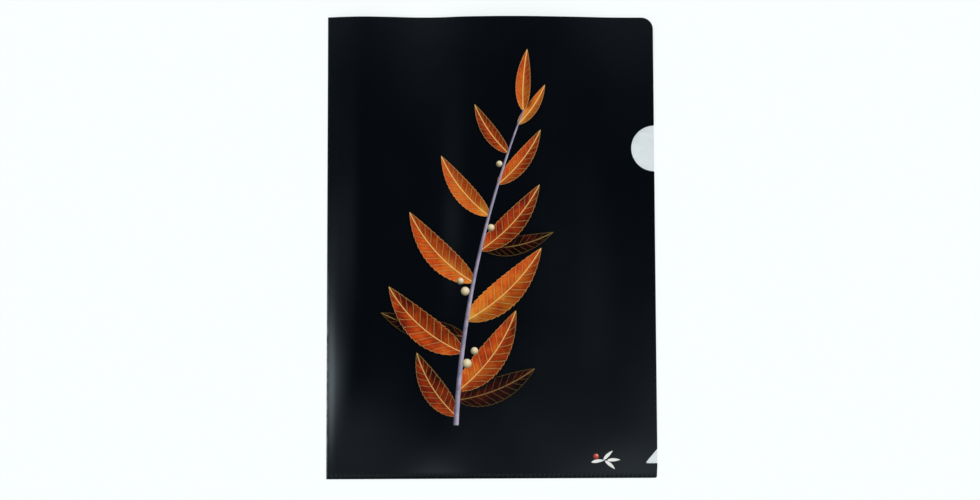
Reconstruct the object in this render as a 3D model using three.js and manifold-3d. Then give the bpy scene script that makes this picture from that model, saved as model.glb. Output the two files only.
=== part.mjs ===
// An L-shaped document folder for A4 paper. One sheet of polypropylene is printed on its front,
// die-cut, folded along its left edge and welded along its bottom edge, so it stays open at the
// mouth and down the free edge. It is one piece, so it is one solid: a flat back panel, a tight
// fold, and a front panel that springs in two long humps that grow towards the mouth.
//
// Units are millimetres. X runs from the fold to the free edge, Y from the weld to the mouth, and
// Z up from the table that the back panel lies on. The origin is under the middle of the panels.

import * as THREE from "three";
import { mergeGeometries, mergeVertices, toCreasedNormals } from
  "three/addons/utils/BufferGeometryUtils.js";
import Module from "manifold-3d";

// The sheet and its panels
const PANEL_WIDTH = 220; // fold to free edge
const PANEL_LENGTH = 310; // welded edge to mouth
const SHEET_THICKNESS = 0.2;

// The fold: clear space between the two panels' inner faces, at the weld and at the mouth
const GAP_AT_WELD = 0.12;
const GAP_AT_MOUTH = 0.5;

// The weld along the bottom edge, and the row of small bars that its tool presses into the front
const WELD_WIDTH = 3.4;
const WELD_BAR_PITCH = 3.1;
const WELD_BAR_WIDTH = 1.7;
const WELD_BAR_LENGTH = 2;
const WELD_BAR_DEPTH = 0.07;
const WELD_BAR_MARGIN = 1.6; // plain weld left at each end of the row

// The free corners of the die-cut outline
const MOUTH_CORNER_RADIUS = 8;
const WELD_CORNER_RADIUS = 1.3;
const FOOT_TAPER = 0.5; // how far the free edge draws in between the notch and the weld

// The half-round thumb cut in the front panel's free edge
const THUMB_RADIUS = 15.5;
const THUMB_FROM_MOUTH = 89.4; // mouth to the middle of the cut
const THUMB_LEAD_RADIUS = 0.8; // where the cut runs out into the free edge

// The relief notch that keeps the front panel from tearing at the end of the weld
const NOTCH_DEPTH = 8.2;
const NOTCH_HEIGHT = 9.6;
const NOTCH_FROM_WELDED_EDGE = 9.7;
const NOTCH_ROOT_RADIUS = 0.7;

// How far the front panel springs up at the mouth, beyond the fold's own gap: a hump beside the
// fold, a broader one right of the middle, and the free edge
const FOLD_HUMP_LIFT = 3.4;
const MAIN_HUMP_LIFT = 5.7;
const FREE_EDGE_LIFT = 0.6;

// The wave that joins them. Each entry is a place across the panel, from 0 at the fold to 1 at
// the free edge, and the lift there.
const MOUTH_WAVE = [
  { across: 0, lift: 0 },
  { across: 0.04, lift: 0.53 * FOLD_HUMP_LIFT },
  { across: 0.1, lift: FOLD_HUMP_LIFT },
  { across: 0.17, lift: 0.76 * FOLD_HUMP_LIFT },
  { across: 0.27, lift: 0.06 * FOLD_HUMP_LIFT },
  { across: 0.34, lift: 0.12 * MAIN_HUMP_LIFT },
  { across: 0.43, lift: 0.72 * MAIN_HUMP_LIFT },
  { across: 0.58, lift: MAIN_HUMP_LIFT },
  { across: 0.75, lift: 0.6 * MAIN_HUMP_LIFT },
  { across: 0.87, lift: 0.14 * MAIN_HUMP_LIFT },
  { across: 1, lift: FREE_EDGE_LIFT },
];
const WAVE_GROWTH = 1.5; // the wave grows from the weld to the mouth by this power

// How finely the curved surfaces are faceted
const LENGTH_STEPS = 20;
const FRONT_STEPS = 36;
const FOLD_STEPS = 8;
const ARC_SEGMENTS = 24;

const CUT_MARGIN = 2; // how far a cutting tool reaches past what it cuts
const CREASE_ANGLE = Math.PI / 6; // edges sharper than this are shaded as edges

const freeEdgeX = PANEL_WIDTH / 2;
const foldEdgeX = -PANEL_WIDTH / 2;
const mouthY = PANEL_LENGTH / 2;
const weldedEdgeY = -PANEL_LENGTH / 2;
const weldLineY = weldedEdgeY + WELD_WIDTH;
const betweenPanelsZ = SHEET_THICKNESS + GAP_AT_WELD / 2;
const weldTopZ = 2 * SHEET_THICKNESS + GAP_AT_WELD;
const highestLift = Math.max(...MOUTH_WAVE.map(({ lift }) => lift));
const aboveAllZ = weldTopZ + GAP_AT_MOUTH + highestLift + CUT_MARGIN;

const wasm = await Module();
wasm.setup();

// The wave along the mouth is a smooth curve through the named places.
const mouthCurve = new THREE.SplineCurve(
  MOUTH_WAVE.map(({ across, lift }) => new THREE.Vector2(across, lift)),
);
const mouthSamples = mouthCurve.getPoints(MOUTH_WAVE.length * ARC_SEGMENTS);

function liftAtMouth(across) {
  const after = Math.max(1, mouthSamples.findIndex((p) => p.x >= across));
  const [a, b] = [mouthSamples[after - 1], mouthSamples[after]];
  return THREE.MathUtils.mapLinear(across, a.x, b.x, a.y, b.y);
}

// From 0 along the weld, where both panels are held flat, to 1 at the mouth
function growthAt(y) {
  const along = THREE.MathUtils.inverseLerp(weldLineY, mouthY, y);
  return THREE.MathUtils.clamp(along, 0, 1) ** WAVE_GROWTH;
}

// The sheet's middle line at one distance along the folder, from the back panel's free edge round
// the fold to the front panel's free edge
function middleLine(y) {
  const growth = growthAt(y);
  const gap = THREE.MathUtils.lerp(GAP_AT_WELD, GAP_AT_MOUTH, growth);
  const bend = (gap + SHEET_THICKNESS) / 2;
  const bendX = foldEdgeX + SHEET_THICKNESS / 2 + bend;
  const backZ = SHEET_THICKNESS / 2;
  const line = [new THREE.Vector2(freeEdgeX, backZ)];
  for (let i = 0; i < FOLD_STEPS; i++) {
    const turn = (Math.PI * i) / FOLD_STEPS;
    const x = bendX - bend * Math.sin(turn);
    line.push(new THREE.Vector2(x, backZ + bend * (1 - Math.cos(turn))));
  }
  for (let i = 0; i <= FRONT_STEPS; i++) {
    const across = i / FRONT_STEPS;
    const x = THREE.MathUtils.lerp(bendX, freeEdgeX, across);
    line.push(new THREE.Vector2(x, backZ + 2 * bend + growth * liftAtMouth(across)));
  }
  return line;
}

// One section of the sheet: the outside and the inside of its middle line, half a thickness away
function sheetSection(y) {
  const line = middleLine(y);
  const lastIndex = line.length - 1;
  const outside = [];
  const inside = [];
  line.forEach((point, i) => {
    const before = line[Math.max(i - 1, 0)];
    const after = line[Math.min(i + 1, lastIndex)];
    const along = after.clone().sub(before).normalize();
    if (i <= 1) along.set(-1, 0); // the back panel is flat up to the fold
    if (i === lastIndex) along.set(1, 0); // the free edge is cut square to the table
    const half = new THREE.Vector2(-along.y, along.x).multiplyScalar(SHEET_THICKNESS / 2);
    outside.push(point.clone().add(half));
    inside.push(point.clone().sub(half));
  });
  return [...outside, ...inside.reverse()].map((p) => new THREE.Vector3(p.x, y, p.y));
}

// Skins a row of closed sections that all have the same number of points, and closes both ends.
// Each section runs out along one face of the sheet and back along the other.
function loftedSheet(sections) {
  const count = sections[0].length;
  const faces = [];
  const quad = (a, b, c, d) => faces.push(a, b, c, a, c, d);
  for (let s = 0; s + 1 < sections.length; s++) {
    const [here, there] = [s * count, (s + 1) * count];
    for (let i = 0; i < count; i++) {
      const next = (i + 1) % count;
      quad(here + i, here + next, there + next, there + i);
    }
  }
  const last = (sections.length - 1) * count;
  for (let i = 0; i + 1 < count / 2; i++) {
    const across = count - 1 - i;
    quad(i, across, across - 1, i + 1);
    quad(last + i, last + i + 1, last + across - 1, last + across);
  }
  const geometry = new THREE.BufferGeometry().setFromPoints(sections.flat());
  geometry.setIndex(faces);
  return geometry;
}

// A flat outline with a radius at each corner, each corner given as [x, y, radius]
function roundedOutline(corners) {
  const outline = new THREE.Shape();
  corners.forEach(([x, y, radius], i) => {
    const corner = new THREE.Vector2(x, y);
    const [beforeX, beforeY] = corners.at(i - 1);
    const [afterX, afterY] = corners[(i + 1) % corners.length];
    const toBefore = new THREE.Vector2(beforeX, beforeY).sub(corner).normalize();
    const toAfter = new THREE.Vector2(afterX, afterY).sub(corner).normalize();
    const halfAngle = Math.acos(toBefore.dot(toAfter)) / 2;
    const setBack = radius / Math.tan(halfAngle);
    const start = corner.clone().addScaledVector(toBefore, setBack);
    const end = corner.clone().addScaledVector(toAfter, setBack);
    if (i === 0) outline.moveTo(start.x, start.y);
    else outline.lineTo(start.x, start.y);
    if (radius > 0) {
      const inwards = toBefore.clone().add(toAfter).normalize();
      const centre = corner.clone().addScaledVector(inwards, radius / Math.sin(halfAngle));
      const [from, to] = [start, end].map((p) => Math.atan2(p.y - centre.y, p.x - centre.x));
      outline.absarc(centre.x, centre.y, radius, from, to, toBefore.cross(toAfter) > 0);
    }
  });
  outline.closePath();
  return outline;
}

// What the die leaves of both panels: rounded free corners, and a free edge that draws in a
// little beside the weld. On the fold's side it reaches past the folder.
function dieOutline() {
  const pastFoldX = foldEdgeX - CUT_MARGIN;
  return roundedOutline([
    [pastFoldX, weldedEdgeY, 0],
    [freeEdgeX - FOOT_TAPER, weldedEdgeY, WELD_CORNER_RADIUS],
    [freeEdgeX, weldedEdgeY + NOTCH_FROM_WELDED_EDGE, 0],
    [freeEdgeX, mouthY, MOUTH_CORNER_RADIUS],
    [pastFoldX, mouthY, 0],
  ]);
}

// The half circle is centred on the free edge, and a small radius leads out of each end of it.
function thumbOutline() {
  const centreY = mouthY - THUMB_FROM_MOUTH;
  const pastEdgeX = freeEdgeX + CUT_MARGIN;
  const leadX = freeEdgeX - THUMB_LEAD_RADIUS;
  const leadOffsetY = Math.sqrt((THUMB_RADIUS + THUMB_LEAD_RADIUS) ** 2 - THUMB_LEAD_RADIUS ** 2);
  const towardsLead = Math.atan2(leadOffsetY, leadX - freeEdgeX);
  const [highY, lowY] = [centreY + leadOffsetY, centreY - leadOffsetY];
  const outline = new THREE.Shape();
  outline.moveTo(pastEdgeX, lowY);
  outline.lineTo(pastEdgeX, highY);
  outline.lineTo(freeEdgeX, highY);
  outline.absarc(leadX, highY, THUMB_LEAD_RADIUS, 0, towardsLead - Math.PI, true);
  outline.absarc(freeEdgeX, centreY, THUMB_RADIUS, towardsLead, -towardsLead, false);
  outline.absarc(leadX, lowY, THUMB_LEAD_RADIUS, Math.PI - towardsLead, 0, true);
  outline.closePath();
  return outline;
}

// The notch is a triangle: level on its lower side, sloping on its upper side, round at its root.
function notchOutline() {
  const lowY = weldedEdgeY + NOTCH_FROM_WELDED_EDGE;
  const slope = NOTCH_HEIGHT / NOTCH_DEPTH;
  const pastEdgeX = freeEdgeX + CUT_MARGIN;
  return roundedOutline([
    [freeEdgeX - NOTCH_DEPTH, lowY, NOTCH_ROOT_RADIUS],
    [pastEdgeX, lowY, 0],
    [pastEdgeX, lowY + NOTCH_HEIGHT + slope * CUT_MARGIN, 0],
  ]);
}

// A closed prism of a flat outline between two heights
function prism(outline, fromZ, toZ) {
  const geometry = new THREE.ExtrudeGeometry(outline, {
    depth: toZ - fromZ,
    bevelEnabled: false,
    curveSegments: ARC_SEGMENTS,
  });
  return geometry.translate(0, 0, fromZ);
}

function block(fromX, toX, fromY, toY, fromZ, toZ) {
  const geometry = new THREE.BoxGeometry(toX - fromX, toY - fromY, toZ - fromZ);
  return geometry.translate((fromX + toX) / 2, (fromY + toY) / 2, (fromZ + toZ) / 2);
}

function solidFrom(geometry) {
  geometry.deleteAttribute("normal");
  geometry.deleteAttribute("uv");
  const merged = mergeVertices(geometry);
  return new wasm.Manifold(
    new wasm.Mesh({
      numProp: 3,
      vertProperties: new Float32Array(merged.attributes.position.array),
      triVerts: new Uint32Array(merged.index.array),
    }),
  );
}

// The folded sheet before it is cut, with both panels at their full size
function foldedBlank() {
  const sections = [sheetSection(weldedEdgeY)];
  for (let i = 0; i <= LENGTH_STEPS; i++) {
    sections.push(sheetSection(THREE.MathUtils.lerp(weldLineY, mouthY, i / LENGTH_STEPS)));
  }
  return solidFrom(loftedSheet(sections));
}

// The melted strip between the panels, from the middle of one sheet to the middle of the other
function weldStrip() {
  const fromX = foldEdgeX + SHEET_THICKNESS / 2;
  const [fromZ, toZ] = [SHEET_THICKNESS / 2, weldTopZ - SHEET_THICKNESS / 2];
  return solidFrom(block(fromX, freeEdgeX, weldedEdgeY, weldLineY, fromZ, toZ));
}

// The shallow recesses that the welding tool leaves in the front, evenly spaced along the weld
function weldBars() {
  const rowLength = PANEL_WIDTH - 2 * WELD_BAR_MARGIN - WELD_BAR_WIDTH;
  const spaces = Math.floor(rowLength / WELD_BAR_PITCH);
  const middleY = (weldedEdgeY + weldLineY) / 2;
  const bars = [];
  for (let i = 0; i <= spaces; i++) {
    const x = (i - spaces / 2) * WELD_BAR_PITCH;
    const [fromX, toX] = [x - WELD_BAR_WIDTH / 2, x + WELD_BAR_WIDTH / 2];
    const [fromY, toY] = [middleY - WELD_BAR_LENGTH / 2, middleY + WELD_BAR_LENGTH / 2];
    bars.push(block(fromX, toX, fromY, toY, weldTopZ - WELD_BAR_DEPTH, aboveAllZ));
  }
  return solidFrom(mergeGeometries(bars));
}

// The solid's surface in two groups of faces: the printed front first, then the bare film
function surfaceOf(solid) {
  const { numProp, vertProperties, triVerts } = solid.getMesh();
  const corner = (i) => new THREE.Vector3().fromArray(vertProperties, triVerts[i] * numProp);
  const printed = [];
  const bare = [];
  for (let i = 0; i < triVerts.length; i += 3) {
    const face = new THREE.Triangle(corner(i), corner(i + 1), corner(i + 2));
    const facesUp = face.getNormal(new THREE.Vector3()).z > Math.SQRT1_2;
    const isFront = face.getMidpoint(new THREE.Vector3()).z > betweenPanelsZ;
    (facesUp && isFront ? printed : bare).push(face.a, face.b, face.c);
  }
  const geometry = new THREE.BufferGeometry().setFromPoints([...printed, ...bare]);
  geometry.addGroup(0, printed.length, 0);
  geometry.addGroup(printed.length, bare.length, 1);
  return toCreasedNormals(geometry, CREASE_ANGLE);
}

const printedFront = new THREE.MeshStandardMaterial({ color: 0x0a0d13, roughness: 0.4 });
const bareFilm = new THREE.MeshStandardMaterial({ color: 0xd8e0e3, roughness: 0.45 });

function makeFolderSheet() {
  const die = solidFrom(prism(dieOutline(), -CUT_MARGIN, aboveAllZ));
  const thumbCut = solidFrom(prism(thumbOutline(), betweenPanelsZ, aboveAllZ));
  const notch = solidFrom(prism(notchOutline(), betweenPanelsZ, aboveAllZ));
  const welded = foldedBlank().add(weldStrip()).subtract(weldBars());
  const cut = welded.intersect(die).subtract(thumbCut).subtract(notch);
  const mesh = new THREE.Mesh(surfaceOf(cut), [printedFront, bareFilm]);
  mesh.name = "folder_sheet";
  return mesh;
}

const folder = new THREE.Group();
folder.add(makeFolderSheet());

export default folder;
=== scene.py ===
# %% [markdown]
# # An L-shaped document folder
#
# The real thing is one sheet of 0.2 mm polypropylene. It is printed flat, die-cut, folded once
# along its left edge and welded along its bottom edge. This lesson makes it the same way: a flat
# blank is cut to its outline, bent round the fold, given its thickness, and then finished with a
# printed front and bare, frosted film everywhere else.
#
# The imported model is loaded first. It gives the box that the visual model has to fill.

import math

import bmesh
import bpy
import numpy as np
from mathutils import Matrix, Vector


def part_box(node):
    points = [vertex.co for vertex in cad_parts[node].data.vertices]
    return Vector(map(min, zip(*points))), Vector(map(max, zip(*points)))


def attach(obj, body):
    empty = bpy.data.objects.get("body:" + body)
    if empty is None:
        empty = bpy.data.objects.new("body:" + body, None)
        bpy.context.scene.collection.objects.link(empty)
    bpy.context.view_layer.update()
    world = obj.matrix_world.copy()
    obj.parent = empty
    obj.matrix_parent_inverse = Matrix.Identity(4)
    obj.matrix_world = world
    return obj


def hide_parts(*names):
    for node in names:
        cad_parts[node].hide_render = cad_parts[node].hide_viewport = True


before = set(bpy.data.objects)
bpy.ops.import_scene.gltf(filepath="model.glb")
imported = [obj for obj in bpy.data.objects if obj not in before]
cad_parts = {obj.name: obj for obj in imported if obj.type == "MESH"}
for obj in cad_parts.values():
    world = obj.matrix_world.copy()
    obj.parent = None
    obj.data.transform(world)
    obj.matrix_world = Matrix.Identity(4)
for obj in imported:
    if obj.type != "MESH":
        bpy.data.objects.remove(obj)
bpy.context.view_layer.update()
print("the frame's nodes:", sorted(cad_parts))

# %% [markdown]
# ## Sizes
#
# All sizes are in millimetres, and the mesh is scaled to metres once, at the end. The outer sizes
# come from the frame, so the visual model can't drift away from it. The film's thickness, the
# fold's gaps and the wave of the front are the ones that the folder's own source uses.

# %% Sizes of the sheet
MM = 0.001
low, high = (Vector(corner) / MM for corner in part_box("folder_sheet"))
FOLD_X, WELDED_EDGE_Y = low.x, low.y
FREE_EDGE_X, MOUTH_Y = high.x, high.y
PANEL_WIDTH = FREE_EDGE_X - FOLD_X

FILM = 0.2
GAP_AT_WELD = 0.12
GAP_AT_MOUTH = 0.5
WELD_WIDTH = 3.4
WELD_LINE_Y = WELDED_EDGE_Y + WELD_WIDTH
print(f"panels {PANEL_WIDTH:.1f} by {MOUTH_Y - WELDED_EDGE_Y:.1f} mm, {high.z:.2f} mm high")

# %% [markdown]
# ## The shape that the front takes
#
# A new folder doesn't lie quite flat. The fold and the weld hold the front panel down, and the
# rest of it springs up in long waves that grow towards the open mouth. A cloth simulation could
# find such a shape, but a curve through a few heights gives it at once, and the same every time.
# The heights were estimated from the wave that the top edge makes in the picture.
#
# `MOUTH_WAVE` holds pairs: a place across the panel, from 0 at the fold to 1 at the free edge,
# and how far the film stands up there at the mouth.

# %% The wave along the mouth
FOLD_HUMP = 3.4
MAIN_HUMP = 5.7
FREE_EDGE_LIFT = 0.6
MOUTH_WAVE = [
    (0, 0),
    (0.04, 0.53 * FOLD_HUMP),
    (0.1, FOLD_HUMP),
    (0.17, 0.76 * FOLD_HUMP),
    (0.27, 0.06 * FOLD_HUMP),
    (0.34, 0.12 * MAIN_HUMP),
    (0.43, 0.72 * MAIN_HUMP),
    (0.58, MAIN_HUMP),
    (0.75, 0.6 * MAIN_HUMP),
    (0.87, 0.14 * MAIN_HUMP),
    (1, FREE_EDGE_LIFT),
]
WAVE_GROWTH = 1.5
STEPS_PER_SPAN = 40


def smooth_curve(points):
    """A Catmull-Rom curve through the points, as rows of x and height."""
    knots = np.array([points[0], *points, points[-1]], float)
    t = np.linspace(0, 1, STEPS_PER_SPAN, endpoint=False)[:, None]
    spans = []
    for before, start, end, after in zip(knots, knots[1:], knots[2:], knots[3:]):
        leave, arrive = (end - before) / 2, (after - start) / 2
        cubic = 2 * start - 2 * end + leave + arrive
        square = -3 * start + 3 * end - 2 * leave - arrive
        spans.append(cubic * t**3 + square * t**2 + leave * t + start)
    return np.vstack([*spans, knots[-1:]])


mouth_curve = smooth_curve(MOUTH_WAVE)


def lift_at_mouth(across):
    return np.interp(across, mouth_curve[:, 0], mouth_curve[:, 1])


print(f"highest point of the wave {mouth_curve[:, 1].max():.2f} mm above the fold's gap")

# %% [markdown]
# Two smaller swellings show only in the sheen of the real film. One runs beside the fold, where
# the crease pushes the front up a little. The other is a pair of shallow puckers just above the
# weld, where the heat has shrunk the film. They are a millimetre high at most, so they are added
# here and not in the solid. Their heights are a guess that gives the sheen its brightness.

# %% Small swellings beside the fold and the weld
FOLD_SWELL_HEIGHT = 1.0
FOLD_SWELL_Y = -90
FOLD_SWELL_LENGTH = 46
FOLD_SWELL_WIDTH = 18
PUCKER_REACH = 25
PUCKERS = [(-37, 19, 0.4), (88, 32, 0.3)]  # place across, half width and height


def rise_and_fade(distance, peak_at):
    """0 at no distance, 1 at peak_at, and then slowly back to 0."""
    share = np.clip(distance / peak_at, 0, None)
    return share * np.exp(1 - share)


def small_swellings(x, y):
    along_fold = np.exp(-(((y - FOLD_SWELL_Y) / FOLD_SWELL_LENGTH) ** 2))
    swell = FOLD_SWELL_HEIGHT * along_fold * rise_and_fade(x - FOLD_X, FOLD_SWELL_WIDTH)
    puckers = sum(h * np.exp(-(((x - centre) / half) ** 2)) for centre, half, h in PUCKERS)
    return swell + puckers * rise_and_fade(y - WELD_LINE_Y, PUCKER_REACH)


print("swellings at the weld's middle:", float(small_swellings(np.array(0.0), np.array(-140.0))))

# %% [markdown]
# ## Bending the blank
#
# A point of the flat blank is given by `s`, how far it lies from the crease, and `y`. The back
# panel has negative `s` and the front panel positive `s`. `middle_surface` says where that point
# of the film's middle ends up once the sheet is folded: flat on the table, round the fold, or out
# along the waved front.

# %% Where a point of the flat blank goes
FOLD_HALF = 0.45  # the stretch of blank on each side of the crease that the bend takes up


def middle_surface(s, y):
    growth = np.clip((y - WELD_LINE_Y) / (MOUTH_Y - WELD_LINE_Y), 0, 1) ** WAVE_GROWTH
    bend = (GAP_AT_WELD + (GAP_AT_MOUTH - GAP_AT_WELD) * growth + FILM) / 2
    bend_x = FOLD_X + FILM / 2 + bend
    turn = np.clip((s + FOLD_HALF) / (2 * FOLD_HALF), 0, 1) * math.pi
    across = np.clip((np.abs(s) - FOLD_HALF) / (PANEL_WIDTH - FOLD_HALF), 0, 1)
    x = bend_x - bend * np.sin(turn) + across * (FREE_EDGE_X - bend_x)
    lift = growth * lift_at_mouth(across) + small_swellings(x, y) * np.clip(across * 60, 0, 1)
    z = FILM / 2 + bend * (1 - np.cos(turn)) + np.where(s > 0, lift, 0)
    return np.stack([x, y, z], axis=-1)


def film_direction(s, y):
    """The unit normal of the film, pointing out of the folder on both panels."""
    ds, dy = 0.05, 0.5
    along_s = middle_surface(s + ds, y) - middle_surface(s - ds, y)
    along_y = middle_surface(s, y + dy) - middle_surface(s, y - dy)
    normal = np.cross(along_s, along_y)
    return normal / np.linalg.norm(normal, axis=-1, keepdims=True)


print("crease at", middle_surface(np.array([0.0]), np.array([0.0])).round(2))

# %% [markdown]
# ## The die's outline
#
# The cutting die leaves a long blank with both panels side by side. Its corners at the mouth are
# round, and so are the foot corners beside the weld. Only the front panel has the half-round
# thumb cut and the small relief notch. An outline is a list of points, and `arc` puts in the
# round stretches.

# %% Helpers for the outline
ARC_STEPS = 28


def arc(centre, radius, start, end):
    """Points on a circle from one angle to another, in degrees."""
    angles = np.radians(np.linspace(start, end, ARC_STEPS))
    return [(centre[0] + radius * math.cos(a), centre[1] + radius * math.sin(a)) for a in angles]


def rounded(before, corner, after, radius):
    """An arc that rounds the corner between two straight stretches."""
    corner, before, after = (Vector(p) for p in (corner, before, after))
    to_before, to_after = (before - corner).normalized(), (after - corner).normalized()
    half = to_before.angle(to_after) / 2
    centre = corner + (to_before + to_after).normalized() * radius / math.sin(half)
    ends = [corner + d * radius / math.tan(half) for d in (to_before, to_after)]
    start, end = (math.degrees(math.atan2(*(p - centre).yx)) for p in ends)
    if end - start > 180:
        end -= 360
    if start - end > 180:
        end += 360
    return arc(centre, radius, start, end)


# %% The cuts of the front panel and the corners of both
MOUTH_CORNER = 8
FOOT_CORNER = 1.3
FOOT_TAPER = 0.5
THUMB_RADIUS = 15.5
THUMB_FROM_MOUTH = 89.4
THUMB_LEAD = 0.8
NOTCH_DEPTH = 8.2
NOTCH_HEIGHT = 9.6
NOTCH_LOW_Y = WELDED_EDGE_Y + 9.7
NOTCH_ROOT = 0.7

edge = PANEL_WIDTH
foot = (edge - FOOT_TAPER, WELDED_EDGE_Y)
notch_low, notch_high = (edge, NOTCH_LOW_Y), (edge, NOTCH_LOW_Y + NOTCH_HEIGHT)
notch_root = (edge - NOTCH_DEPTH, NOTCH_LOW_Y)
thumb_y = MOUTH_Y - THUMB_FROM_MOUTH
lead_offset = math.sqrt((THUMB_RADIUS + THUMB_LEAD) ** 2 - THUMB_LEAD**2)
lead_angle = math.degrees(math.atan2(lead_offset, -THUMB_LEAD))


def thumb_cut():
    """The half-round cut, from its lower end to its upper end, with a small lead at each."""
    lead_x = edge - THUMB_LEAD
    lower = arc((lead_x, thumb_y - lead_offset), THUMB_LEAD, 0, 180 - lead_angle)
    bowl = arc((edge, thumb_y), THUMB_RADIUS, 360 - lead_angle, lead_angle)
    upper = arc((lead_x, thumb_y + lead_offset), THUMB_LEAD, lead_angle - 180, 0)
    return [*lower, *bowl, *upper]


def mirrored(points):
    return [(-x, y) for x, y in reversed(points)]


foot_corner = rounded((0, WELDED_EDGE_Y), foot, notch_low, FOOT_CORNER)
mouth_corner = arc((edge - MOUTH_CORNER, MOUTH_Y - MOUTH_CORNER), MOUTH_CORNER, 0, 90)
front_edge = [
    *foot_corner,
    notch_low,
    *rounded(notch_low, notch_root, notch_high, NOTCH_ROOT),
    notch_high,
    *thumb_cut(),
    *mouth_corner,
]
back_edge = mirrored([*foot_corner, notch_low, *mouth_corner])
blank_outline = [*front_edge, *back_edge]
print(f"the blank's outline has {len(blank_outline)} points")

# %% [markdown]
# ## Scoring the blank into a grid
#
# The outline is one big face. To bend smoothly it needs many small faces, so it is cut by rows of
# straight lines, much as a knife plotter would score it. `bisect_plane` keeps the outline exact
# and cuts only what lies under it. Across the fold the lines are close together. Over the weld
# they follow the edges of each small bar that the welding tool presses in.

# %% Cut the blank along rows of lines
GRID = 2.0
BACK_GRID = 10.0
BEND_STEPS = 16

WELD_BAR_PITCH = 3.1
WELD_BAR_SIZE = (1.7, 2.0)
WELD_BAR_DEPTH = 0.04  # shallower than in the solid, where the light would draw them too hard
WELD_BAR_SLOPE = 0.6
WELD_BAR_MARGIN = 1.6
WELD_BAR_SPACES = int((PANEL_WIDTH - 2 * WELD_BAR_MARGIN - WELD_BAR_SIZE[0]) // WELD_BAR_PITCH)
WELD_MIDDLE_Y = WELDED_EDGE_Y + WELD_WIDTH / 2


def score(blank, places, axis, picked=lambda face: True):
    """Cuts the picked faces of the blank at each place along an axis."""
    normal = Vector((1, 0, 0)) if axis == "s" else Vector((0, 1, 0))
    for place in places:
        faces = [f for f in blank.faces if picked(f)]
        edges = {e for f in faces for e in f.edges}
        corners = {v for f in faces for v in f.verts}
        bmesh.ops.bisect_plane(
            blank,
            geom=[*faces, *edges, *corners],
            plane_co=normal * place,
            plane_no=normal,
            dist=1e-5,
        )


def in_weld(face):
    """Whether a face belongs to the front panel's welded band."""
    centre = face.calc_center_median()
    return centre.x > 0 and centre.y < WELD_LINE_Y


blank = bmesh.new()
blank.faces.new([blank.verts.new((s, y, 0)) for s, y in blank_outline])
half_width, half_length = WELD_BAR_SIZE[0] / 2, WELD_BAR_SIZE[1] / 2
bar_centres = [
    PANEL_WIDTH / 2 + (i - WELD_BAR_SPACES / 2) * WELD_BAR_PITCH
    for i in range(WELD_BAR_SPACES + 1)
]
bar_sides = [
    side * (half_width - inset) for side in (-1, 1) for inset in (0, WELD_BAR_SLOPE)
]
bar_ends = [side * (half_length - inset) for side in (-1, 1) for inset in (0, WELD_BAR_SLOPE)]
score(blank, [WELD_LINE_Y], "y")
score(blank, [0], "s")
score(blank, [WELD_MIDDLE_Y + end for end in bar_ends], "y", in_weld)
score(blank, [centre + side for centre in bar_centres for side in bar_sides], "s", in_weld)
print(f"{len(bar_centres)} weld bars, {len(blank.faces)} faces")

# %% Score both panels and the bend
def steps(start, end, size):
    count = max(1, round((end - start) / size))
    return [start + (end - start) * i / count for i in range(1, count)]


row_lines = [WELD_LINE_Y + GRID / 2, *steps(WELD_LINE_Y, MOUTH_Y, GRID)]
bend_lines = [FOLD_HALF * (2 * i / BEND_STEPS - 1) for i in range(BEND_STEPS + 1)]
near_fold = [FOLD_HALF + d for d in (0.1, 0.3, 0.7, 1.3, 2.2, 4.0)]
front_lines = [*bend_lines, *near_fold, *steps(near_fold[-1], PANEL_WIDTH, GRID)]
back_lines = [-s for s in (*near_fold, *steps(near_fold[-1], PANEL_WIDTH, BACK_GRID))]
score(blank, row_lines, "y")
score(blank, [*back_lines, *front_lines], "s")
print(f"the scored blank has {len(blank.faces)} faces")

# %% [markdown]
# ## From blank to folded film
#
# The scored blank gives the faces. Each of its points becomes two, one on each side of the film's
# middle, so the film has its true thickness. The rim is closed by a ring of narrow faces: these
# are the die-cut edges, and they stay bare where the front is printed.
#
# The film gets a UV map with the name that is given here, for an image of the print. The printed
# front gets most of that image.

# %% Read the blank as arrays
blank.verts.index_update()
flat = np.array([v.co[:2] for v in blank.verts])
blank_faces = [[v.index for v in f.verts] for f in blank.faces]
rim = [
    (loop.vert.index, loop.link_loop_next.vert.index)
    for face in blank.faces
    for loop in face.loops
    if loop.edge.is_boundary
]
blank.free()


def bar_recess(s, y):
    """How deep the welding tool has pressed at a point of the front."""
    nearest = np.abs(s[:, None] - np.array(bar_centres)[None, :]).min(axis=1)
    across = np.clip((half_width - nearest) / WELD_BAR_SLOPE, 0, 1)
    along = np.clip((half_length - np.abs(y - WELD_MIDDLE_Y)) / WELD_BAR_SLOPE, 0, 1)
    return WELD_BAR_DEPTH * across * along * (s > 0)


s_flat, y_flat = flat[:, 0], flat[:, 1]
middle = middle_surface(s_flat, y_flat)
out = film_direction(s_flat, y_flat)
outside = middle + out * (FILM / 2 - bar_recess(s_flat, y_flat))[:, None]
inside = middle - out * FILM / 2
print(f"film from z {outside[:, 2].min():.3f} to {outside[:, 2].max():.3f} mm")

# %% Places in the baked image
FRONT_SCALE = 0.96 / (MOUTH_Y - WELDED_EDGE_Y)
SMALL_SCALE = 0.3 / (MOUTH_Y - WELDED_EDGE_Y)
ISLANDS = {
    "front outside": (0.012, 0.02, FRONT_SCALE),
    "front inside": (0.73, 0.02, SMALL_SCALE),
    "back outside": (0.73, 0.35, SMALL_SCALE),
    "back inside": (0.73, 0.68, SMALL_SCALE),
}
RIM_REACH = 0.003


def image_place(island, s, y):
    left, bottom, scale = ISLANDS[island]
    return left + abs(s) * scale, bottom + (y - WELDED_EDGE_Y) * scale


# %% Build the folded film
PRINTED, BARE, INK_BEHIND = range(3)


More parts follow.
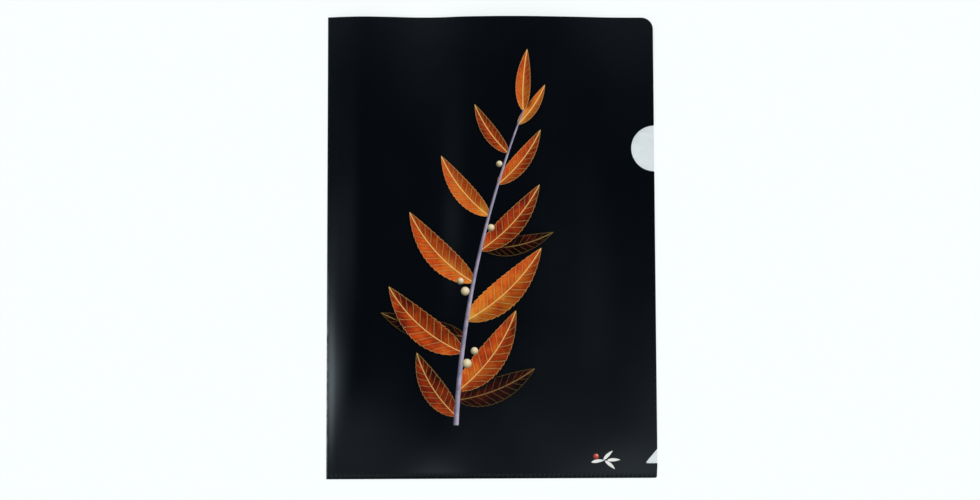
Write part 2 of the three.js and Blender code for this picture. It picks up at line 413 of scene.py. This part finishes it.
def folded_film():
    count = len(flat)
    points = np.vstack([outside, inside]) * MM
    faces, slots, places = [], [], []
    for face in blank_faces:
        panel = "front" if flat[face, 0].mean() > 0 else "back"
        for side, loop in (("outside", face), ("inside", face[::-1])):
            shift = 0 if side == "outside" else count
            faces.append([i + shift for i in loop])
            slots.append(BARE if panel == "back" else PRINTED if side == "outside" else INK_BEHIND)
            places.append([image_place(f"{panel} {side}", *flat[i]) for i in loop])
    for a, b in rim:
        panel = "front" if flat[[a, b], 0].mean() > 0 else "back"
        faces.append([b, a, a + count, b + count])
        slots.append(BARE)
        ends = [Vector(image_place(f"{panel} outside", *flat[i])) for i in (b, a)]
        along = (ends[0] - ends[1]).normalized()
        step = Vector((along.y, -along.x)) * RIM_REACH * (1 if panel == "front" else -1)
        places.append([ends[0], ends[1], ends[1] + step, ends[0] + step])
    mesh = bpy.data.meshes.new("folded_film")
    mesh.from_pydata(points.tolist(), [], faces)
    mesh.polygons.foreach_set("material_index", slots)
    uv = mesh.uv_layers.new(name="OFBake")
    uv.data.foreach_set("uv", [c for face in places for place in face for c in place])
    return mesh


film_mesh = folded_film()
print(f"{len(film_mesh.polygons)} faces, first printed:", film_mesh.polygons[0].material_index)

# %% [markdown]
# The two panels are smooth, but the die leaves a crisp edge all round. Marking the rim's long
# edges as sharp keeps the panels' shading smooth right up to it.

# %% Smooth the panels and keep the cut edges crisp
film_mesh.shade_smooth()
sharp = {frozenset(pair) for a, b in rim for pair in ((a, b), (a + len(flat), b + len(flat)))}
is_sharp = [frozenset(e.vertices) in sharp for e in film_mesh.edges]
film_mesh.attributes.new("sharp_edge", "BOOLEAN", "EDGE").data.foreach_set("value", is_sharp)
film_mesh.validate()
folded_sheet = bpy.data.objects.new("folded_film", film_mesh)
bpy.context.scene.collection.objects.link(folded_sheet)
print(f"{sum(is_sharp)} sharp edges of {len(is_sharp)}")

# %% [markdown]
# ## The weld
#
# Along the bottom the two panels are melted together, so their gap is filled. A slim closed strip
# between them shows as the solid edge of the weld when the folder is seen from below.

# %% The melted strip between the panels
WELD_INSET = 0.03


def melted_strip():
    s0, s1 = FILM, PANEL_WIDTH - FOOT_TAPER - FOOT_CORNER
    y0, y1 = WELDED_EDGE_Y + WELD_INSET, WELD_LINE_Y
    z0, z1 = 0.75 * FILM, 1.25 * FILM + GAP_AT_WELD
    strip = bmesh.new()
    bmesh.ops.create_cube(strip, size=1)
    for v in strip.verts:
        v.co = Vector(
            (
                FOLD_X + (s1 if v.co.x > 0 else s0),
                y1 if v.co.y > 0 else y0,
                z1 if v.co.z > 0 else z0,
            )
        ) * MM
    bmesh.ops.bevel(
        strip,
        geom=[e for e in strip.edges if abs((e.verts[0].co - e.verts[1].co).x) > MM],
        offset=0.02 * MM,
        segments=2,
        affect="EDGES",
    )
    mesh = bpy.data.meshes.new("weld_strip")
    strip.to_mesh(mesh)
    strip.free()
    return mesh


weld_strip = bpy.data.objects.new("weld_strip", melted_strip())
bpy.context.scene.collection.objects.link(weld_strip)
print(f"the weld is {WELD_WIDTH} mm wide and has {len(weld_strip.data.polygons)} faces")

# %% [markdown]
# ## Helpers for materials
#
# Node materials get long when every node is placed by hand. `Wires` adds a node, sets or links
# its sockets and hands back its output, so that a material reads like a formula.

# %% A small helper for node trees
class Wires:
    def __init__(self, tree):
        self.tree = tree

    def add(self, kind, inputs=(), **settings):
        node = self.tree.nodes.new(kind)
        for name, value in settings.items():
            setattr(node, name, value)
        for name, value in dict(inputs).items():
            if isinstance(value, bpy.types.NodeSocket):
                self.tree.links.new(value, node.inputs[name])
            else:
                node.inputs[name].default_value = value
        return node

    def math(self, operation, *values, clamp=False):
        node = self.add("ShaderNodeMath", enumerate(values), operation=operation, use_clamp=clamp)
        return node.outputs[0]

    def fade(self, value, start, end, low=0.0, high=1.0):
        """low up to start, high from end on, and a smooth step between."""
        ends = {"From Min": start, "From Max": end, "To Min": low, "To Max": high}
        # A smooth step never passes its ends, so it needs no clamp.
        node = self.add(
            "ShaderNodeMapRange",
            {"Value": value, **ends},
            interpolation_type="SMOOTHSTEP",
            clamp=False,
        )
        return node.outputs["Result"]

    def blend(self, factor, first, second):
        node = self.add("ShaderNodeMix", data_type="RGBA")
        for index, value in ((0, factor), (6, first), (7, second)):
            if isinstance(value, bpy.types.NodeSocket):
                self.tree.links.new(value, node.inputs[index])
            else:
                node.inputs[index].default_value = value
        return node.outputs[2]

    def noise(self, place, scale, detail=2.0, roughness=0.5):
        sockets = {"Vector": place, "Scale": scale, "Detail": detail, "Roughness": roughness}
        return self.add("ShaderNodeTexNoise", sockets).outputs["Fac"]


def linear(red, green, blue):
    """A colour as it is seen on screen, from 0 to 255, turned into the renderer's numbers."""
    parts = [c / 255 for c in (red, green, blue)]
    return (*(p / 12.92 if p <= 0.04045 else ((p + 0.055) / 1.055) ** 2.4 for p in parts), 1)


def new_group(name, inputs, outputs):
    """A shader node group with named sockets, its wires, and its input values by name."""
    group = bpy.data.node_groups.new(name, "ShaderNodeTree")
    for direction, sockets in (("INPUT", inputs), ("OUTPUT", outputs)):
        for socket, kind in sockets.items():
            group.interface.new_socket(socket, in_out=direction, socket_type=f"NodeSocket{kind}")
    wires = Wires(group)
    given = wires.add("NodeGroupInput").outputs
    return group, wires, given


def finish_group(wires, results):
    wires.add("NodeGroupOutput", results)


def new_material(name):
    """An empty material, its wires, and its Principled shader."""
    material = bpy.data.materials.new(name)
    material.use_nodes = True
    material.node_tree.nodes.clear()
    wires = Wires(material.node_tree)
    shader = wires.add("ShaderNodeBsdfPrincipled")
    wires.add("ShaderNodeOutputMaterial", {"Surface": shader.outputs["BSDF"]})
    return material, wires, shader


print("helpers ready")

# %% [markdown]
# ## The film's own surface
#
# Polypropylene film comes off a roller with a fine, satin texture. Both the printed front and the
# bare film have it, so it is a node group: a very shallow unevenness for the Bump node and a
# slight variation of the roughness. It works in the object's own coordinates, in millimetres.

# %% Group: satin film texture
film_texture, wires, given = new_group(
    "Film texture",
    {"Place": "Vector", "Roughness": "Float", "Variation": "Float"},
    {"Height": "Float", "Roughness": "Float"},
)
grain = wires.noise(given["Place"], 2.2, 3.0)
drift = wires.noise(given["Place"], 0.035, 2.0)
varied = wires.math("MULTIPLY", wires.math("SUBTRACT", drift, 0.5), given["Variation"])
finish_group(
    wires,
    {"Height": grain, "Roughness": wires.math("ADD", given["Roughness"], varied)},
)
print("film texture group:", len(film_texture.nodes), "nodes")


def film_finish(wires, shader, roughness, variation, bump):
    """Puts the film texture under a Principled shader and returns the place in millimetres."""
    place = wires.add("ShaderNodeTexCoord").outputs["Object"]
    place = wires.add(
        "ShaderNodeVectorMath", {0: place, "Scale": 1 / MM}, operation="SCALE"
    ).outputs[0]
    texture = wires.add("ShaderNodeGroup", node_tree=film_texture)
    wires.tree.links.new(place, texture.inputs["Place"])
    texture.inputs["Roughness"].default_value = roughness
    texture.inputs["Variation"].default_value = variation
    bumped = wires.add(
        "ShaderNodeBump",
        {"Height": texture.outputs["Height"], "Strength": bump, "Distance": 0.02 * MM},
    )
    wires.tree.links.new(texture.outputs["Roughness"], shader.inputs["Roughness"])
    wires.tree.links.new(bumped.outputs["Normal"], shader.inputs["Normal"])
    return place


# %% [markdown]
# ## The bare film
#
# The back panel and the cut edges are frosted film without ink. Light passes through, but nothing
# behind can be read sharply. Part of the light is transmitted, and the roughness blurs it. The
# frost isn't quite even, so a faint haze varies its colour.

# %% Material: bare frosted film
bare_film, wires, shader = new_material("bare frosted film")
place = film_finish(wires, shader, roughness=0.42, variation=0.08, bump=0.25)
shader.inputs["Transmission Weight"].default_value = 0.6
shader.inputs["IOR"].default_value = 1.49
haze = wires.noise(place, 0.05, 3.0)
haze_colour = wires.blend(haze, linear(229, 237, 240), linear(236, 242, 244))
wires.tree.links.new(haze_colour, shader.inputs["Base Color"])
print("bare film done")

# %% [markdown]
# From inside the pocket the front's ink is seen through its own film, so it is dark but has the
# film's gloss over it.

# %% Material: ink seen through the front's film
ink_behind, wires, shader = new_material("ink behind film")
place = film_finish(wires, shader, roughness=0.3, variation=0.08, bump=0.2)
cloud = wires.noise(place, 0.06, 3.0)
ink_colour = wires.blend(cloud, linear(16, 19, 26), linear(24, 28, 36))
wires.tree.links.new(ink_colour, shader.inputs["Base Color"])
shader.inputs["IOR"].default_value = 1.49
print("ink behind film done")

# %% [markdown]
# ## The print: one leaf
#
# The front carries a printed spray of autumn leaves on a near-black ground. An image would be the
# usual way to put it there, but a node group can draw a leaf by formula, at any scale, from its
# base, its direction, its length and its width. The same group then draws every leaf of the spray.
#
# Inside, the point is turned into the leaf's own frame: `along` runs from 0 at the stalk to 1 at
# the tip, and `side` is the distance from the midrib as a share of the half width.

# %% Group: a printed leaf
PRINT_INPUTS = {"X": "Float", "Y": "Float", "Patches": "Float"}
leaf, wires, given = new_group(
    "Printed leaf",
    {
        **PRINT_INPUTS,
        "Base X": "Float",
        "Base Y": "Float",
        "Direction": "Float",
        "Length": "Float",
        "Width": "Float",
        "Bend": "Float",
        "Age": "Float",
        "Light": "Float",
        "Plain": "Float",
    },
    {"Color": "Color", "Mask": "Float", "Shadow": "Float"},
)
from_base_x = wires.math("SUBTRACT", given["X"], given["Base X"])
from_base_y = wires.math("SUBTRACT", given["Y"], given["Base Y"])
cosine, sine = (wires.math(kind, given["Direction"]) for kind in ("COSINE", "SINE"))
outward = wires.math(
    "ADD", wires.math("MULTIPLY", from_base_x, cosine), wires.math("MULTIPLY", from_base_y, sine)
)
sideways = wires.math(
    "SUBTRACT",
    wires.math("MULTIPLY", from_base_y, cosine),
    wires.math("MULTIPLY", from_base_x, sine),
)
share = wires.math("DIVIDE", outward, given["Length"])
inside_ends = wires.math(
    "MULTIPLY", wires.fade(share, 0.0, 0.01), wires.fade(share, 0.99, 1.0, 1.0, 0.0)
)
near_ends = wires.math(
    "MULTIPLY", wires.fade(share, 0.0, 0.1), wires.fade(share, 0.92, 1.06, 1.0, 0.0)
)
along = wires.math("MINIMUM", wires.math("MAXIMUM", share, 0.001), 0.999)
rest = wires.math("SUBTRACT", 1.0, along)

# The midrib bends sideways most at its middle.
sag = wires.math("MULTIPLY", wires.math("MULTIPLY", along, rest), given["Bend"])
across = wires.math("SUBTRACT", sideways, wires.math("MULTIPLY", sag, given["Length"]))

# The half width grows quickly from the stalk and runs out to a long tip, with fine teeth.
swell = wires.math("MULTIPLY", wires.math("POWER", along, 0.6), wires.math("POWER", rest, 0.9))
TEETH = 17.0
TOOTH_DEPTH = 0.07
tooth = wires.math("FRACT", wires.math("MULTIPLY", along, TEETH))
tooth = wires.math("MULTIPLY", wires.math("SUBTRACT", tooth, 0.5), TOOTH_DEPTH)
swell = wires.math("MULTIPLY", swell, wires.math("SUBTRACT", 1.0, tooth))
half = wires.math("MULTIPLY", wires.math("MULTIPLY", swell, given["Width"]), 0.93)
distance = wires.math("ABSOLUTE", across)
room = wires.math("SUBTRACT", half, distance)
side = wires.math("DIVIDE", across, wires.math("ADD", half, 0.01))
far = wires.math("ABSOLUTE", side)

# Side veins leave the midrib at a slant.
VEIN_PAIRS = 11.0
VEIN_SLANT = 1.3
vein_place = wires.math(
    "SUBTRACT",
    wires.math("MULTIPLY", along, VEIN_PAIRS),
    wires.math("MULTIPLY", far, VEIN_SLANT),
)
vein_wave = wires.math("ABSOLUTE", wires.math("SUBTRACT", wires.math("FRACT", vein_place), 0.5))
veins = wires.fade(vein_wave, 0.0, 0.11, 1.0, 0.0)
midrib = wires.fade(distance, 0.12, 0.5, 1.0, 0.0)
puff = wires.fade(vein_wave, 0.0, 0.5, 0.0, 1.0)

# Colour runs from amber through orange red to brown with age, in uneven patches.
tone = wires.math("ADD", wires.math("MULTIPLY", along, 0.25), given["Age"])
tone = wires.math("ADD", tone, given["Patches"])
tone = wires.math("ADD", tone, wires.math("MULTIPLY", far, 0.14))
ramp = wires.add("ShaderNodeValToRGB", {"Fac": tone}).color_ramp
LEAF_COLOURS = [
    (0.0, (246, 176, 70)),
    (0.22, (232, 124, 38)),
    (0.45, (206, 78, 26)),
    (0.68, (142, 40, 20)),
    (0.86, (78, 22, 18)),
    (1.0, (34, 12, 14)),
]
while len(ramp.elements) < len(LEAF_COLOURS):
    ramp.elements.new(0.5)
for element, (position, colour) in zip(ramp.elements, LEAF_COLOURS):
    element.position = position
    element.color = linear(*colour)
leaf_colour = wires.tree.nodes[-1].outputs["Color"]

# One half of the leaf faces the light, and each field between two veins swells a little.
facing = wires.fade(side, -0.75, 0.75, 0.5, 1.0)
shade = wires.math("MULTIPLY", facing, wires.math("ADD", wires.math("MULTIPLY", puff, 0.25), 0.75))
shade = wires.math("MULTIPLY", shade, given["Light"])
leaf_colour = wires.blend(shade, (0, 0, 0, 1), leaf_colour)
pale = wires.math("MAXIMUM", midrib, wires.math("MULTIPLY", veins, 0.34))
margin = wires.math("MULTIPLY", wires.fade(room, 0.15, 0.75, 1.0, 0.0), 0.5)
pale = wires.math("MULTIPLY", wires.math("MAXIMUM", pale, margin), given["Light"])
leaf_colour = wires.blend(wires.math("MULTIPLY", pale, 0.8), leaf_colour, linear(250, 206, 120))
leaf_colour = wires.blend(given["Plain"], leaf_colour, linear(238, 238, 236))

mask = wires.math("MULTIPLY", wires.fade(room, 0.0, 0.3), inside_ends)
shadow = wires.math("MULTIPLY", wires.fade(room, -4.0, 0.0), near_ends)
finish_group(wires, {"Color": leaf_colour, "Mask": mask, "Shadow": shadow})
print("leaf group:", len(leaf.nodes), "nodes")

# %% [markdown]
# ## The print: stem and berries
#
# The stem is a slender band round a curve, shaded like a round twig. A berry is a disc shaded like
# a ball, with a small bright spot towards the light.

# %% Where the stem runs
STEM_FOOT = Vector((-24, -120))
STEM_TOP = Vector((22, 92))
STEM_SAG = -9.0


def on_stem(t):
    """The point of the stem at a share of its length, 0 at the foot and 1 at the top."""
    point = STEM_FOOT.lerp(STEM_TOP, t)
    return point + Vector((STEM_SAG * 4 * t * (1 - t), 0))


print("the stem runs from", tuple(on_stem(0)), "to", tuple(on_stem(1)))

# %% Group: the printed stem
stem, wires, given = new_group("Printed stem", PRINT_INPUTS, {"Color": "Color", "Mask": "Float"})
height = STEM_TOP.y - STEM_FOOT.y
t = wires.math("DIVIDE", wires.math("SUBTRACT", given["Y"], STEM_FOOT.y), height)
t_in = wires.math("MULTIPLY", wires.fade(t, 0.0, 0.004), wires.fade(t, 0.996, 1.0, 1.0, 0.0))
bow = wires.math("MULTIPLY", t, wires.math("SUBTRACT", 1.0, t))
bow = wires.math("MULTIPLY", bow, 4 * STEM_SAG)
lean = wires.math("ADD", wires.math("MULTIPLY", t, STEM_TOP.x - STEM_FOOT.x), STEM_FOOT.x)
offset = wires.math("SUBTRACT", given["X"], wires.math("ADD", bow, lean))
thickness = wires.math("SUBTRACT", 1.9, wires.math("MULTIPLY", t, 1.25))
share = wires.math("DIVIDE", offset, thickness)
inside_stem = wires.fade(wires.math("ABSOLUTE", share), 0.85, 1.0, 1.0, 0.0)
round_light = wires.fade(share, -1.0, 0.55, 0.15, 1.0)
bark = wires.fade(given["Patches"], -0.3, 0.3)
stem_colour = wires.blend(bark, linear(128, 122, 158), linear(206, 198, 214))
stem_colour = wires.blend(round_light, linear(34, 28, 44), stem_colour)
finish_group(wires, {"Color": stem_colour, "Mask": wires.math("MULTIPLY", inside_stem, t_in)})
print("stem group:", len(stem.nodes), "nodes")

# %% Group: a printed berry
berry, wires, given = new_group(
    "Printed berry",
    {
        **PRINT_INPUTS,
        "Centre X": "Float",
        "Centre Y": "Float",
        "Radius": "Float",
        "Fruit": "Color",
    },
    {"Color": "Color", "Mask": "Float"},
)


def distance_in_radii(dx, dy):
    square = wires.math("ADD", wires.math("MULTIPLY", dx, dx), wires.math("MULTIPLY", dy, dy))
    return wires.math("DIVIDE", wires.math("SQRT", square), given["Radius"])


GLINT_SHIFT = (0.9, 1.2)
from_centre_x = wires.math("SUBTRACT", given["X"], given["Centre X"])
from_centre_y = wires.math("SUBTRACT", given["Y"], given["Centre Y"])
reach = distance_in_radii(from_centre_x, from_centre_y)
from_glint_x = wires.math("SUBTRACT", from_centre_x, GLINT_SHIFT[0])
from_glint_y = wires.math("SUBTRACT", from_centre_y, GLINT_SHIFT[1])
glint = distance_in_radii(from_glint_x, from_glint_y)
ball = wires.fade(glint, 0.3, 1.5, 1.0, 0.16)
fruit = wires.blend(ball, (0, 0, 0, 1), given["Fruit"])
fruit = wires.blend(wires.fade(glint, 0.0, 0.38, 0.85, 0.0), fruit, linear(255, 250, 240))
finish_group(wires, {"Color": fruit, "Mask": wires.fade(reach, 0.92, 1.0, 1.0, 0.0)})
print("berry group:", len(berry.nodes), "nodes")

# %% [markdown]
# ## The print: laying out the spray
#
# Each row says where on the stem a leaf grows, its direction in degrees from the fold-to-free-edge
# direction, its length and width, its bend, its age and how much light it gets. Leaves further
# back come first, and each later one is laid over them with a soft shadow.

# %% The leaves, the berries and the small ornament
SPRAY = [
    (0.08, 22, 56, 25, -0.25, 0.66, 0.26),
    (0.28, 164, 58, 24, 0.20, 0.66, 0.28),
    (0.56, 12, 50, 19, -0.30, 0.62, 0.28),
    (0.03, 122, 50, 24, 0.28, 0.46, 0.78),
    (0.11, 54, 66, 29, -0.30, 0.30, 0.95),
    (0.23, 138, 66, 30, 0.34, 0.36, 0.92),
    (0.33, 44, 70, 30, -0.28, 0.12, 1.00),
    (0.45, 132, 64, 27, 0.30, 0.22, 1.00),
    (0.55, 48, 60, 24, -0.26, 0.40, 0.92),
    (0.66, 128, 52, 21, 0.26, 0.14, 1.00),
    (0.76, 52, 47, 18, -0.24, 0.28, 0.98),
    (0.86, 124, 40, 15, 0.22, 0.40, 0.90),
    (0.95, 56, 33, 12, -0.20, 0.14, 1.00),
    (0.995, 86, 42, 15, 0.12, 0.22, 1.00),
]
BERRIES = [(0.19, 4.2, 1.0, 3.2), (0.215, 8.6, 4.0, 2.6), (0.415, -4.0, 1.5, 3.0)]
BERRIES += [(0.435, -8.0, 4.0, 2.3), (0.62, 3.6, 0.5, 2.5), (0.82, -3.0, 1.0, 2.2)]
CREAM = linear(238, 222, 178)
CORAL = linear(226, 88, 66)
ORNAMENT = Vector((78, -143))
ORNAMENT_LEAVES = [(-12, -1.5, 8), (-4, 0, 44), (-3, -0.5, 320), (-1.5, -0.3, 2)]
print(f"{len(SPRAY)} leaves and {len(BERRIES)} berries")

# %% [markdown]
# ## The printed front
#
# All the motifs are laid over the dark ground in one material, one blend after another. The film
# mirrors the tent a little bluer than it is, which a constant specular tint gives. A material can
# grow too large for Cycles, which then draws it black and says nothing. This one is near that
# size, and `fade` leaves out its clamp to keep it smaller.

# %% Material: the printed front
printed_front, wires, shader = new_material("printed front")
place = film_finish(wires, shader, roughness=0.12, variation=0.05, bump=0.1)
shader.inputs["IOR"].default_value = 1.49
shader.inputs["Specular Tint"].default_value = (0.78, 0.91, 1.0, 1)
ground = wires.noise(place, 0.02, 2.0)
picture = wires.blend(ground, linear(4, 8, 12), linear(7, 10, 16))
spot = wires.add("ShaderNodeSeparateXYZ", {0: place}).outputs
patches = wires.math("SUBTRACT", wires.noise(place, 0.09, 6.0, 0.62), 0.5)
print_place = {"X": spot["X"], "Y": spot["Y"], "Patches": patches}


def lay(wires, picture, node_tree, values, shadow=0.0):
    """Lays one printed motif over the picture so far."""
    node = wires.add("ShaderNodeGroup", node_tree=node_tree)
    for name, value in (print_place | values).items():
        if isinstance(value, bpy.types.NodeSocket):
            wires.tree.links.new(value, node.inputs[name])
        else:
            node.inputs[name].default_value = value
    if shadow:
        under = wires.math("MULTIPLY", node.outputs["Shadow"], shadow)
        picture = wires.blend(under, picture, linear(5, 6, 9))
    return wires.blend(node.outputs["Mask"], picture, node.outputs["Color"])


def leaf_values(base, direction, length, width, bend, age, light):
    return {
        "Base X": base.x,
        "Base Y": base.y,
        "Direction": math.radians(direction),
        "Length": length,
        "Width": width,
        "Bend": bend,
        "Age": age,
        "Light": light,
    }


def berry_values(centre, radius, fruit):
    return {"Centre X": centre.x, "Centre Y": centre.y, "Radius": radius, "Fruit": fruit}


for t, *shape in SPRAY:
    picture = lay(wires, picture, leaf, leaf_values(on_stem(t), *shape), shadow=0.75)
picture = lay(wires, picture, stem, {})
for t, dx, dy, radius in BERRIES:
    centre = on_stem(t) + Vector((dx, dy))
    picture = lay(wires, picture, berry, berry_values(centre, radius, CREAM))

# The small ornament near the notch: a plain sprig and one berry.
for dx, dy, direction in ORNAMENT_LEAVES:
    base = ORNAMENT + Vector((dx, dy))
    values = leaf_values(base, direction, 9.0, 3.6, 0.1, 0.0, 1.0)
    picture = lay(wires, picture, leaf, values | {"Plain": 1.0})
picture = lay(wires, picture, berry, berry_values(ORNAMENT + Vector((-9, 2.2)), 2.0, CORAL))

# The crease has a worn line where the ink has whitened, and the same line is also painted sheen:
# it is painted brightest beside the fold's swelling, where the film's sheen is strongest.
from_crease = wires.math("SUBTRACT", spot["X"], FOLD_X)
from_swell = wires.math("ABSOLUTE", wires.math("SUBTRACT", spot["Y"], FOLD_SWELL_Y))
wear_and_sheen_patches = wires.fade(wires.noise(place, 0.12, 4.0, 0.7), 0.3, 0.65)
crease_wear_and_painted_sheen = wires.math("MULTIPLY", wires.fade(from_crease, 0.2, 1.6, 0.5, 0.0), wear_and_sheen_patches)
crease_wear_and_painted_sheen = wires.math("MULTIPLY", crease_wear_and_painted_sheen, wires.fade(from_swell, 15.0, 95.0, 1.0, 0.05))
picture = wires.blend(crease_wear_and_painted_sheen, picture, linear(160, 166, 174))
wires.tree.links.new(picture, shader.inputs["Base Color"])
print("printed front:", len(printed_front.node_tree.nodes), "nodes")

# %% Dress the pieces and tie them to the frame
for material in (printed_front, bare_film, ink_behind):
    folded_sheet.data.materials.append(material)
weld_strip.data.materials.append(bare_film)
for piece in (folded_sheet, weld_strip):
    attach(piece, "root")
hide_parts("folder_sheet")
print("slots:", [m.name for m in folded_sheet.data.materials])

# %% [markdown]
# ## The table and the light
#
# The folder lies on a white table under a light tent. The tent is bright all round, and it has a
# dark opening straight above, where the camera looks in. That opening is why the printed black
# stays black: satin film mirrors what is above it. The tent's edges show in the film only where
# it tilts, as a soft sheen.
#
# What the camera sees of the table is part paint and part glow. The glow keeps it white, and the
# paint takes the folder's shadow. For all other light it is plain pale paint.

# %% The white table
TABLE_SIZE = 3.0
table_mesh = bpy.data.meshes.new("table")
half_table = TABLE_SIZE / 2
corners = [(x * half_table, y * half_table, 0) for x, y in ((-1, -1), (1, -1), (1, 1), (-1, 1))]
table_mesh.from_pydata(corners, [], [(0, 1, 2, 3)])
table = bpy.data.objects.new("table", table_mesh)
bpy.context.scene.collection.objects.link(table)

white_table = bpy.data.materials.new("white table")
white_table.use_nodes = True
white_table.node_tree.nodes.clear()
wires = Wires(white_table.node_tree)
plain = wires.add("ShaderNodeBsdfDiffuse", {"Color": (0.8, 0.8, 0.8, 1)})
seen_paint = wires.add("ShaderNodeBsdfDiffuse", {"Color": (0.3, 0.3, 0.3, 1)})
TABLE_GLOW = {"Color": linear(249, 255, 255), "Strength": 0.72}
seen_glow = wires.add("ShaderNodeEmission", TABLE_GLOW)
seen = wires.add("ShaderNodeAddShader", {0: seen_paint.outputs[0], 1: seen_glow.outputs[0]})
path = wires.add("ShaderNodeLightPath").outputs
looked_at = wires.math("MAXIMUM", path["Is Camera Ray"], path["Is Glossy Ray"])
looked_at = wires.math("MAXIMUM", looked_at, path["Is Transmission Ray"])
mixed = wires.add("ShaderNodeMixShader", {0: looked_at, 1: plain.outputs[0], 2: seen.outputs[0]})
wires.add("ShaderNodeOutputMaterial", {"Surface": mixed.outputs[0]})
table_mesh.materials.append(white_table)
print("table ready")

# %% [markdown]
# The tent is a world whose brightness depends on the direction alone. A direction has a part to
# the right and a part to the back, each from -1 to 1. Straight up, both are 0. Each wall below
# fades in between two such values. The lamp is a soft patch up on the left, and it gives the
# sheen beside the fold.

# %% The light tent
TENT_BRIGHT = 1.0
SIDE_LAMP = 3.8
# Where each glow starts and ends its fade, and after that its low and high where they differ
BACK_WALL = (0.145, 0.38)
NEAR_WALL = (0.02, 0.22)
SIDE_WALLS = (0.60, 0.90)
RIGHT_CORNER = {"right": (0.05, 0.26), "near": (-0.10, 0.08)}
RIGHT_FOOT = {"right": (0.02, 0.10, 0.0, 0.7), "near": (0.02, 0.075)}
LAMP_IN = {"left": (0.08, 0.48), "near": (-0.09, -0.01)}
LAMP_OUT = {"left": (0.6, 0.8, 1.0, 0.0), "near": (0.04, 0.2, 1.0, 0.0)}

tent = bpy.data.worlds.new("light tent")
tent.use_nodes = True
tent.node_tree.nodes.clear()
wires = Wires(tent.node_tree)
way = wires.add("ShaderNodeSeparateXYZ", {0: wires.add("ShaderNodeTexCoord").outputs["Generated"]})
right, back = way.outputs["X"], way.outputs["Y"]
left, near = wires.math("MULTIPLY", right, -1.0), wires.math("MULTIPLY", back, -1.0)
walls = [
    wires.fade(back, *BACK_WALL),
    wires.fade(near, *NEAR_WALL),
    wires.fade(left, *SIDE_WALLS),
    wires.fade(right, *SIDE_WALLS),
]
for corner in (RIGHT_CORNER, RIGHT_FOOT):
    to_right, to_near = wires.fade(right, *corner["right"]), wires.fade(near, *corner["near"])
    walls.append(wires.math("MULTIPLY", to_right, to_near))
tent_light = walls[0]
for wall in walls[1:]:
    tent_light = wires.math("MAXIMUM", tent_light, wall)
lamp_across, lamp_along = (
    wires.math("MULTIPLY", wires.fade(way_to, *LAMP_IN[side]), wires.fade(way_to, *LAMP_OUT[side]))
    for side, way_to in (("left", left), ("near", near))
)
lamp = wires.math("MULTIPLY", wires.math("MULTIPLY", lamp_across, lamp_along), SIDE_LAMP)
strength = wires.math("ADD", wires.math("MULTIPLY", tent_light, TENT_BRIGHT), lamp)
glow = wires.add("ShaderNodeBackground", {"Color": (1, 1, 1, 1), "Strength": strength})
wires.add("ShaderNodeOutputWorld", {"Surface": glow.outputs[0]})
bpy.context.scene.world = tent
print("tent ready")

# %% [markdown]
# ## The camera
#
# The photograph looks almost straight down, leaning a few degrees towards the welded edge. A
# height of 1.1 metres was chosen, because the picture would fit a nearer camera as well. For
# that height the place, the lens and the small turns were solved from the folder's four corners
# in the 980 by 500 frame. The lens was then lengthened by a hair to share out what was left.

# %% The camera
CAMERA_PLACE = (-0.0235, -0.0860, 1.1)
CAMERA_PITCH, CAMERA_ROLL, CAMERA_YAW = 0.0755, -0.0203, -0.0018
CAMERA_LENS = 60.42

camera_data = bpy.data.cameras.new("camera")
camera_data.lens = CAMERA_LENS
camera_data.sensor_width = 36
camera_data.clip_end = 20
camera = bpy.data.objects.new("camera", camera_data)
bpy.context.scene.collection.objects.link(camera)
turn = Matrix.Rotation(CAMERA_YAW, 4, "Z") @ Matrix.Rotation(CAMERA_PITCH, 4, "X")
turn = turn @ Matrix.Rotation(CAMERA_ROLL, 4, "Y")
camera.matrix_world = Matrix.Translation(CAMERA_PLACE) @ turn
bpy.context.scene.camera = camera
bpy.context.scene.view_settings.view_transform = "Standard"
print("camera at", CAMERA_PLACE, "with a", CAMERA_LENS, "mm lens")
